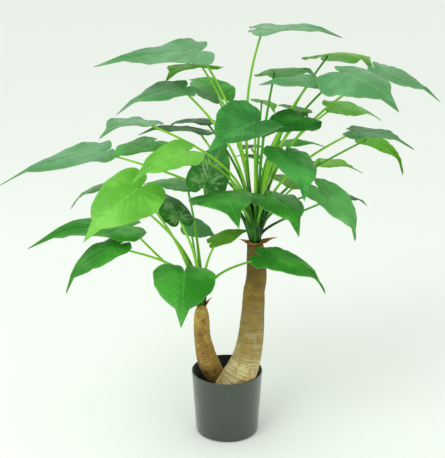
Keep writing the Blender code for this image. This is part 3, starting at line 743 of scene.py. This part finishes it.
# %% The greens of the leaves
GREEN_ROWS = {
    # The pale row's grey-green is partly the leaf's own green and partly painted sheen, the pale room
    # mirrored at a low angle
    "pale": ("leaf_grey_green", (0.120, 0.345, 0.140), (0.075, 0.26, 0.080),
             (0.28, 0.50, 0.22), (0.085, 0.40, 0.018), 0.36),
    "mid": ("leaf_full_green", (0.066, 0.365, 0.036), (0.026, 0.215, 0.014),
             (0.20, 0.52, 0.10), (0.09, 0.40, 0.015), 0.38),
    "bright": ("leaf_yellow_green", (0.175, 0.53, 0.060), (0.110, 0.41, 0.035),
             (0.36, 0.70, 0.16), (0.20, 0.52, 0.02), 0.40),
    "dark": ("leaf_deep_green", (0.024, 0.200, 0.018), (0.008, 0.100, 0.007),
             (0.12, 0.36, 0.07), (0.04, 0.27, 0.012), 0.42),
    "cool": ("leaf_cool_green", (0.078, 0.410, 0.068), (0.028, 0.260, 0.026),
             (0.20, 0.50, 0.17), (0.07, 0.34, 0.015), 0.38),
    "deep": ("leaf_blue_green", (0.040, 0.270, 0.040), (0.012, 0.155, 0.013),
             (0.14, 0.40, 0.12), (0.05, 0.30, 0.014), 0.40),
    "fresh": ("leaf_fresh_green", (0.145, 0.480, 0.125), (0.090, 0.360, 0.075),
             (0.30, 0.60, 0.22), (0.10, 0.42, 0.018), 0.37),
    "olive": ("leaf_young_olive", (0.150, 0.40, 0.015), (0.080, 0.27, 0.010),
             (0.28, 0.50, 0.08), (0.12, 0.45, 0.010), 0.42),
    # Dark green with pale streaks along the veins: painted shade with painted highlights
    "veined": ("leaf_pale_veined", (0.030, 0.235, 0.018), (0.010, 0.110, 0.008),
             (0.31, 0.55, 0.21), (0.06, 0.27, 0.015), 0.38, 0.60),
}
LEAF_GREENS = {tone: leaf_finish(*row) for tone, row in GREEN_ROWS.items()}
# Leaves that differ from the green of their own row: three dark ones with pale streaks along the veins,
# painted shade and painted highlights, and some in a bluer or younger green
OWN_GREENS = {"leaf_tall_12": "veined", "leaf_tall_35": "veined", "leaf_short_04": "veined",
              "leaf_tall_09": "deep", "leaf_tall_16": "cool", "leaf_tall_17": "fresh",
              "leaf_short_06": "olive", "leaf_tall_26": "olive"}
print("leaf greens:", ", ".join(LEAF_GREENS))

# %% [markdown]
# ## Blades
#
# A blade is a heart fanned out from its hub. Its outline is given as a reach for each turn, so that the drip
# tip, the round back lobes and the notch between them come from one rule. The flat heart is then bent: it
# droops towards the tip, the back lobes fold, the middle sinks into a groove along the midrib, and the edge
# waves. Two such sheets, a millimetre apart, are bridged round the edge, which makes a closed leaf.


# %% The rule of the heart shape
def edge_reach(turn):
    """How far the edge stands from the hub, as a share of the length, at a turn in degrees."""
    body = 0.42 + 0.32 * exp(-((turn / 42) ** 1.5)) + 0.26 * exp(-turn / 2.5)  # round, shoulder, drip tip
    notch = 1 - 0.92 * exp(-(((180 - turn) / 12) ** 1.6))
    back = 1 - 0.60 * (max(0.0, turn - 90) / 90) ** 1.6
    return body * notch * back


def leaf_frame(leaf):
    """Hub, midrib direction, left-hand direction and upward direction of a leaf."""
    hub = Vector(leaf[1:4])
    heading, dip, roll = (radians(v) for v in leaf[4:7])
    level = spoke(heading)
    midrib = level * cos(dip) - UPRIGHT * sin(dip)
    left = UPRIGHT.cross(level)
    up = midrib.cross(left)
    return hub, midrib, left * cos(roll) + up * sin(roll), up * cos(roll) - left * sin(roll)


def bent(along, above, length, turn):
    """A point on a sheet that is rolled down evenly by this turn over this length."""
    if abs(turn) < 1e-6:
        return along, above
    radius = length / turn
    angle = along / radius
    return (radius + above) * sin(angle), above * cos(angle) - radius * (1 - cos(angle))


def drooped(along, above, length, turn):
    """A point on a sheet that rolls down more and more towards its tip."""
    share = along / length
    angle = turn * share * share
    out = length * (share - turn**2 * share**5 / 10)
    fall = length * (turn * share**3 / 3 - turn**3 * share**7 / 42)
    return out + above * sin(angle), above * cos(angle) - fall


print("reach at tip, side and notch:", [round(edge_reach(turn), 2) for turn in (0, 90, 180)])

# %% Bend the flat leaf
# Groove, quilting, ruffle and ragged edge are shares of the leaf's length
GROOVE = 0.010
QUILTING = 0.0016
RUFFLE = 0.022
RAGGED = 0.035
HALF_WIDTH = 0.43


def surface_height(x, y, share, turn, phase):
    """Waves, groove and quilting of the flat leaf, as a share of its length."""
    wave = EDGE_WAVE * share**3 * sin(radians(turn * 5) + phase) * min(1.0, edge_reach(abs(turn)) * 4)
    groove = -GROOVE * exp(-((y / 0.035) ** 2)) * min(1.0, share * 3)
    start = x - VEIN_LEAN * abs(y) - VEIN_CURVE * y * y
    swell = cos(2 * pi * start / VEIN_SPACING) if start > 0 else 1.0
    fan = cos(2 * pi * radians(abs(turn)) / FAN_STEP) if start <= 0 else swell
    ribs = -QUILTING * fan * min(1.0, abs(y) * 7) * (1 - share**6)
    ruffle = RUFFLE * share**3 * min(1.0, abs(y) * 12) * noise.noise(Vector((x * 9, y * 9, phase)))
    return wave + groove + ribs * min(1.0, share * 2) + ruffle


def blade_point(leaf, x, y, above, phase):
    """Where a point of the flat leaf ends up."""
    hub, midrib, left, up = leaf_frame(leaf)
    length, width, droop, lobe, arch, _, taper = leaf[7:14]
    turn = degrees(atan2(y, x)) if hypot(x, y) > 1e-9 else 0.0
    share = hypot(x, y) / edge_reach(abs(turn))
    uneven = noise.noise(Vector((x * 7, y * 7, phase + 40))) * min(1.0, abs(y) * 8)
    x, y = x * (1 + RAGGED * uneven * share**2), y * (1 + RAGGED * 1.6 * uneven * share**2)
    along, across = x * length, y * length * width * (1 - taper * max(0.0, x))
    height = length * surface_height(x, y, share, turn, phase)
    height -= arch * length * (across / (HALF_WIDTH * length)) ** 2
    if along >= 0:
        out, rise = drooped(along, height + above, length, radians(droop))
    else:
        out, rise = bent(-along * (1 - taper), height + above, 0.4 * length, radians(lobe))
        out = -out
    return hub + midrib * out + left * across + up * rise


# %% Close two sheets into each blade
BLADE_TURNS = 72
BLADE_RINGS = 20
PHASE_STEP = 2.4


def blade(leaf, phase):
    """Two fanned sheets bridged round the edge."""
    shape = bmesh.new()
    blade_map = shape.verts.layers.float_vector.new("blade_map")
    blade_share = shape.verts.layers.float.new("blade_share")
    bmesh.ops.create_grid(shape, x_segments=BLADE_TURNS, y_segments=BLADE_RINGS, size=0.5)
    for point in shape.verts:
        turn = -180 * cos(pi * (point.co.x + 0.5))
        share = (point.co.y + 0.5) ** 0.85
        reach = edge_reach(abs(turn)) * share
        point[blade_share] = share
        point.co = spoke(radians(turn), reach)
    bmesh.ops.remove_doubles(shape, verts=shape.verts, dist=1e-6)
    top = list(shape.verts)
    rim = [edge for edge in shape.edges if edge.is_boundary]
    copy = bmesh.ops.duplicate(shape, geom=top + list(shape.edges) + list(shape.faces))["geom"]
    low = [item for item in copy if isinstance(item, bmesh.types.BMVert)]
    low_faces = [item for item in copy if isinstance(item, bmesh.types.BMFace)]
    low_rim = [item for item in copy if isinstance(item, bmesh.types.BMEdge) and item.is_boundary]
    for points, above, below in ((top, 0.5, 0.0), (low, -0.5, 1.0)):
        for point in points:
            x, y = point.co.x, point.co.y
            point[blade_map] = (x, y, below)
            point.co = blade_point(leaf, x, y, above * BLADE_THICKNESS, phase)
    bmesh.ops.reverse_faces(shape, faces=low_faces)
    bmesh.ops.bridge_loops(shape, edges=rim + low_rim)
    return shape


faces = 0
for k, leaf in enumerate(LEAVES):
    node = leaf_nodes[k]
    green = OWN_GREENS.get(node, leaf[-1])
    piece = new_piece(node.replace("leaf", "blade"), blade(leaf, k * PHASE_STEP), LEAF_GREENS[green],
                      "leaf_" + leaf[-1], node)
    faces += len(piece.data.polygons)
print("blades:", len(LEAVES), "with", faces, "faces")

# %% [markdown]
# ## Stalks
#
# Each leaf hangs on its own stalk. It leaves the head of the stem nearly upright, inside a tight bunch, and
# bows out to its hub. It is thick at the root, where it wraps the stem like celery, and thin at the leaf. Low
# in the bunch the stalks are painted a darker green as shade. Every stalk may step a little aside from leaves
# in its way. Which step it took can be read off the imported solid: of the few courses that the rule allows,
# the right one is the one whose rings lie on it.

# %% The stalks' green
LIME_DEEP = (0.065, 0.33, 0.014)
LIME_LIGHT = (0.36, 0.80, 0.045)
ROOT_SHADE_DEEP = (0.002, 0.043, 0.001)
ROOT_SHADE_PALE = (0.055, 0.28, 0.018)
STREAK_GREEN = (0.06, 0.24, 0.02)

stalk_green, tree, shader = new_finish("stalk_green", 0.36, 0.22)
stalk_share = carried(tree, "stalk_share")
stalk_tone = carried(tree, "stalk_tone")
lime = tint(tree, stalk_tone, LIME_DEEP, LIME_LIGHT)
# Darker green at the root, deep in the tight bunch: painted shade
root_shade_green = tint(tree, maths(tree, "POWER", stalk_tone, 3.0), ROOT_SHADE_DEEP, ROOT_SHADE_PALE)
stalk_colour = tint(tree, fade(tree, stalk_share, 0.17, 0.46), root_shade_green, lime)
streak = speckle(tree, place_of(tree, (1.0, 1.0, 0.12)), 420.0, 3.0)
streaked = tint(tree, fade(tree, streak, 0.50, 0.78, 0.0, 0.3), stalk_colour, STREAK_GREEN)
feed(tree, shader, {"Base Color": streaked})
relief(tree, shader, streak, 0.0003)
print("stalk finish:", stalk_green.name)

# %% Courses of the stalks
# The allowed steps aside are in millimetres, the bows are shares of a full bow, and the drops are in metres
STALK_ROOT_RADIUS = 0.0030
STALK_TIP_RADIUS = 0.0019
STALK_STEPS = 7
STALK_SEAT = 0.0006
ROOT_SPREAD = {"tall": 0.55, "short": 0.35}
SIDE_STEPS = (0, 8, -8, 16, -16, 24, -24, 34, -34, 46, -46)
BOW_STEPS = (1.0, 0.75, 0.5, 0.25)
DROP_STEPS = (0.012, 0.022, 0.034)
CHECK_STEP = 5
PACKED_SIDES = 5


def stalk_curve(leaf, root, drop, bow, side):
    """The four guide points of a stalk from its root to just under the hub."""
    hub, _, _, up = leaf_frame(leaf)
    end = hub - up * (BLADE_THICKNESS / 2 + STALK_SEAT)
    run = end - root
    flat = Vector((run.x, run.y, 0.0))
    sideways = Vector((-run.y, run.x, 0.0)).normalized() * side * 0.001
    bow = bow * leaf[12]
    first = root + run * ((1 - bow) / 3) + (flat * 0.05 + Vector((0, 0, run.z * 0.5))) * bow + sideways
    last = end - run * ((1 - bow) / 3) - (flat * 0.6 + Vector((0, 0, run.z * 0.22))) * bow + sideways
    return root, first, last - up * drop, end


def on_curve(guide, t):
    """The point at a share of a smooth curve with four guide points."""
    a, b, c, d = guide
    return a * (1 - t) ** 3 + b * (3 * t * (1 - t) ** 2) + c * (3 * t * t * (1 - t)) + d * t**3


def course_taken(leaf, root, solid_points):
    """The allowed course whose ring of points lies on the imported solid."""
    best = None
    for drop in DROP_STEPS:
        for bow in BOW_STEPS:
            for side in SIDE_STEPS:
                guide = stalk_curve(leaf, root, drop, bow, side)
                steps = [on_curve(guide, (CHECK_STEP + k) / STALK_STEPS) for k in (-1, 0, 1)]
                radius = STALK_ROOT_RADIUS + (STALK_TIP_RADIUS - STALK_ROOT_RADIUS) * CHECK_STEP / STALK_STEPS
                direction = (steps[2] - steps[0]).normalized()
                turns = (2 * pi * k / PACKED_SIDES for k in range(PACKED_SIDES))
                miss = sum(solid_points.find(ring(steps[1], direction, radius, turn))[2] for turn in turns)
                if best is None or miss < best[0] - 1e-7:
                    best = (miss, guide)
    return best


# %% Roll the stalks of each bunch
def bunch(which, table, foot_radius, foot_height, foot_tone, tones, sheath, seed, node):
    """All the stalks of one stem, on the short green foot that they share.

    A stalk's tone is drawn between the two tones, dark to light. The sheath says how much wider a stalk is at
    its root, and over which share of its length that fades."""
    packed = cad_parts[node].data
    solid_points = KDTree(len(packed.vertices))
    for k, vertex in enumerate(packed.vertices):
        solid_points.insert(vertex.co, k)
    solid_points.balance()
    chance = random.Random(seed)
    shape = bmesh.new()
    share_layer = shape.verts.layers.float.new("stalk_share")
    tone_layer = shape.verts.layers.float.new("stalk_tone")
    base = Vector((table[-1][1], table[-1][2], table[-1][0] + SEAT_GAP))
    crown = base + Vector((0.0, 0.0, foot_height * 0.35 - SEAT_GAP))

    def foot(turn, share):
        ribs = 1 + 0.10 * abs(sin(turn * 4.5))
        taper = 1.0 - 0.4 * share**1.8
        return base + spoke(turn, foot_radius * taper * ribs, foot_height * share)

    rolled_tube(shape, 36, 8, foot)
    for point in shape.verts:
        point[tone_layer] = foot_tone
    worst = 0.0
    for leaf in LEAVES:
        if leaf[0] != which:
            continue
        away = Vector((leaf[1], leaf[2], 0.0)) - Vector((crown.x, crown.y, 0.0))
        root = crown + away.normalized() * foot_radius * ROOT_SPREAD[which]
        miss, guide = course_taken(leaf, root, solid_points)
        worst = max(worst, miss)
        hub = Vector(leaf[1:4])
        tone = chance.uniform(*tones)
        before = set(shape.verts)

        def stalk(turn, share):
            centre = on_curve(guide, share)
            ahead, behind = on_curve(guide, min(1.0, share + 0.02)), on_curve(guide, max(0.0, share - 0.02))
            wrap = 1.08 + sheath[0] * max(0.0, 1 - share / sheath[1]) ** 1.3
            radius = (STALK_ROOT_RADIUS + (STALK_TIP_RADIUS - STALK_ROOT_RADIUS) * share) * wrap
            if share > 0.97:
                radius *= 0.8
            return ring(centre, (ahead - behind).normalized(), radius, turn)

        rolled_tube(shape, 10, 26, stalk)
        for point in set(shape.verts) - before:
            point[tone_layer] = tone
            point[share_layer] = (point.co - root).length / (hub - root).length
    print(node, "rings found to within", round(worst * 1000 / PACKED_SIDES, 4), "mm")
    return new_piece("bunch_" + which, shape, stalk_green, "stalk_green", node)


tall_bunch = bunch("tall", TALL_STEM, 0.0110, 0.022, foot_tone=0.0, tones=(0.0, 0.8), sheath=(1.1, 0.24),
                   seed=5, node="stalks_tall")
short_bunch = bunch("short", SHORT_STEM, 0.0064, 0.016, foot_tone=0.8, tones=(0.2, 1.0), sheath=(1.2, 0.50),
                    seed=9, node="stalks_short")
print("bunches:", len(tall_bunch.data.polygons), "and", len(short_bunch.data.polygons), "faces")

# %% [markdown]
# ## Dry scraps
#
# The oldest leaf bases dry to red-brown paper and cling to the head of the stem. Each scrap is a narrow strip
# that is wide at the root and ends in a point. It curls along its length and is cupped across, which is what
# makes it read as paper and not as a splinter. A thin torn collar holds them together.

# %% Dry paper
PAPER_TAN = (0.44, 0.20, 0.050)
PAPER_BROWN = (0.24, 0.070, 0.022)
PAPER_FIBRE = (0.62, 0.40, 0.14)

paper, tree, shader = new_finish("dry_leaf_base", 0.78, 0.3)
fibre = speckle(tree, place_of(tree, (1.0, 1.0, 0.35)), 330.0, 4.0)
blot = speckle(tree, place_of(tree), 120.0, 3.0)
dry = tint(tree, fade(tree, blot, 0.4, 0.65), PAPER_TAN, PAPER_BROWN)
dry = tint(tree, fade(tree, fibre, 0.48, 0.7, 0.0, 0.7), dry, PAPER_FIBRE)
feed(tree, shader, {"Base Color": dry})
relief(tree, shader, fibre, 0.0008)
print("paper finish:", paper.name)

# %% Collars and scraps
# Each scrap: azimuth, length, rise and width at the root
TALL_SCRAPS = (
    (-8, 0.036, 24, 0.017),
    (-50, 0.018, 40, 0.012),
    (188, 0.022, 25, 0.014),
    (235, 0.014, 45, 0.011),
    (95, 0.024, 45, 0.014),
)
SHORT_SCRAPS = (
    (-15, 0.026, 55, 0.011),
    (185, 0.016, 25, 0.010),
    (80, 0.015, 45, 0.010),
)
COLLAR_HEIGHT = 0.0055
COLLAR_TEARS = 0.0022
CURL_TWIST = 50
STRIP_CUP = 0.22
STRIP_TEARS = 0.0005
STRIP_HALF_THICKNESS = 0.0005


def scraps(name, table, inner, outer, strips, node):
    """A torn collar with curled strips."""
    top = Vector((table[-1][1], table[-1][2], table[-1][0] + SEAT_GAP))
    shape = bmesh.new()

    def collar(turn, share):
        # One lap of the collar's own outline: out along the bottom, up, in over the torn edge and down.
        torn = COLLAR_HEIGHT + COLLAR_TEARS * noise.noise(spoke(turn, 4, inner * 900))
        lap = ((inner, 0.0), (outer, 0.0), (outer + 0.0008, torn * 0.6), (outer + 0.0002, torn),
               (inner + 0.0006, torn), (inner, 0.0))
        spot = share * (len(lap) - 1)
        k = min(int(spot), len(lap) - 2)
        radius = lap[k][0] + (lap[k + 1][0] - lap[k][0]) * (spot - k)
        height = lap[k][1] + (lap[k + 1][1] - lap[k][1]) * (spot - k)
        return top + spoke(turn, radius, height)

    rolled_tube(shape, 60, 15, collar, ends=False)
    bmesh.ops.remove_doubles(shape, verts=shape.verts, dist=1e-6)
    for azimuth, length, rise, width in strips:
        out = spoke(radians(azimuth))
        root = top + out * (inner + outer) / 2 + Vector((0.0, 0.0, 0.002))
        across = Vector((-out.y, out.x, 0.0))

        def strip(turn, share):
            wide = 1.25 * (1 - share) ** 1.35 + 0.05
            lean = radians(80 + (rise - 80) * share)
            reach = (0.35 * share * share + 0.65 * share) * length * cos(radians(rise))
            climb = length * share * (1.25 - 0.25 * share) * sin(radians(rise))
            flat = UPRIGHT * cos(lean) - out * sin(lean)
            spin = radians(CURL_TWIST) * cos(radians(azimuth)) * min(1.0, share * 3)
            side = across * cos(spin) + flat * sin(spin)
            normal = flat * cos(spin) - across * sin(spin)
            half = cos(turn) * width * wide / 2
            cup = normal * (STRIP_CUP * half * half / max(width * wide / 2, 1e-4))
            torn = STRIP_TEARS * noise.noise(Vector((azimuth, share * 9, cos(turn) * 2)))
            thick = normal * sin(turn) * STRIP_HALF_THICKNESS
            return root + out * reach + Vector((0, 0, climb + torn)) + side * half + cup + thick

        rolled_tube(shape, 12, 18, strip)
    return new_piece(name, shape, paper, "dry_husk", node)


tall_scraps = scraps("scraps_tall", TALL_STEM, 0.0118, 0.0140, TALL_SCRAPS, "husk_tall")
short_scraps = scraps("scraps_short", SHORT_STEM, 0.0070, 0.0088, SHORT_SCRAPS, "husk_short")
print("scraps:", len(tall_scraps.data.polygons), "and", len(short_scraps.data.polygons), "faces")

# %% [markdown]
# ## The boxes
#
# The finer pieces are meant to fill about the same box as the imported plant. The finer pieces have to stay
# inside the imported plant's box, give or take a little. Both boxes are gathered, and the change of each side
# between them is printed.

# %% Boxes of the imported and the finer plant
size = {"cad": [list(corner) for corner in cad_box], "visual": [list(corner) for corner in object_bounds()]}
growth = [round(b - a, 4) for low, high in zip(size["cad"], size["visual"]) for a, b in zip(low, high)]
print("growth:", growth)
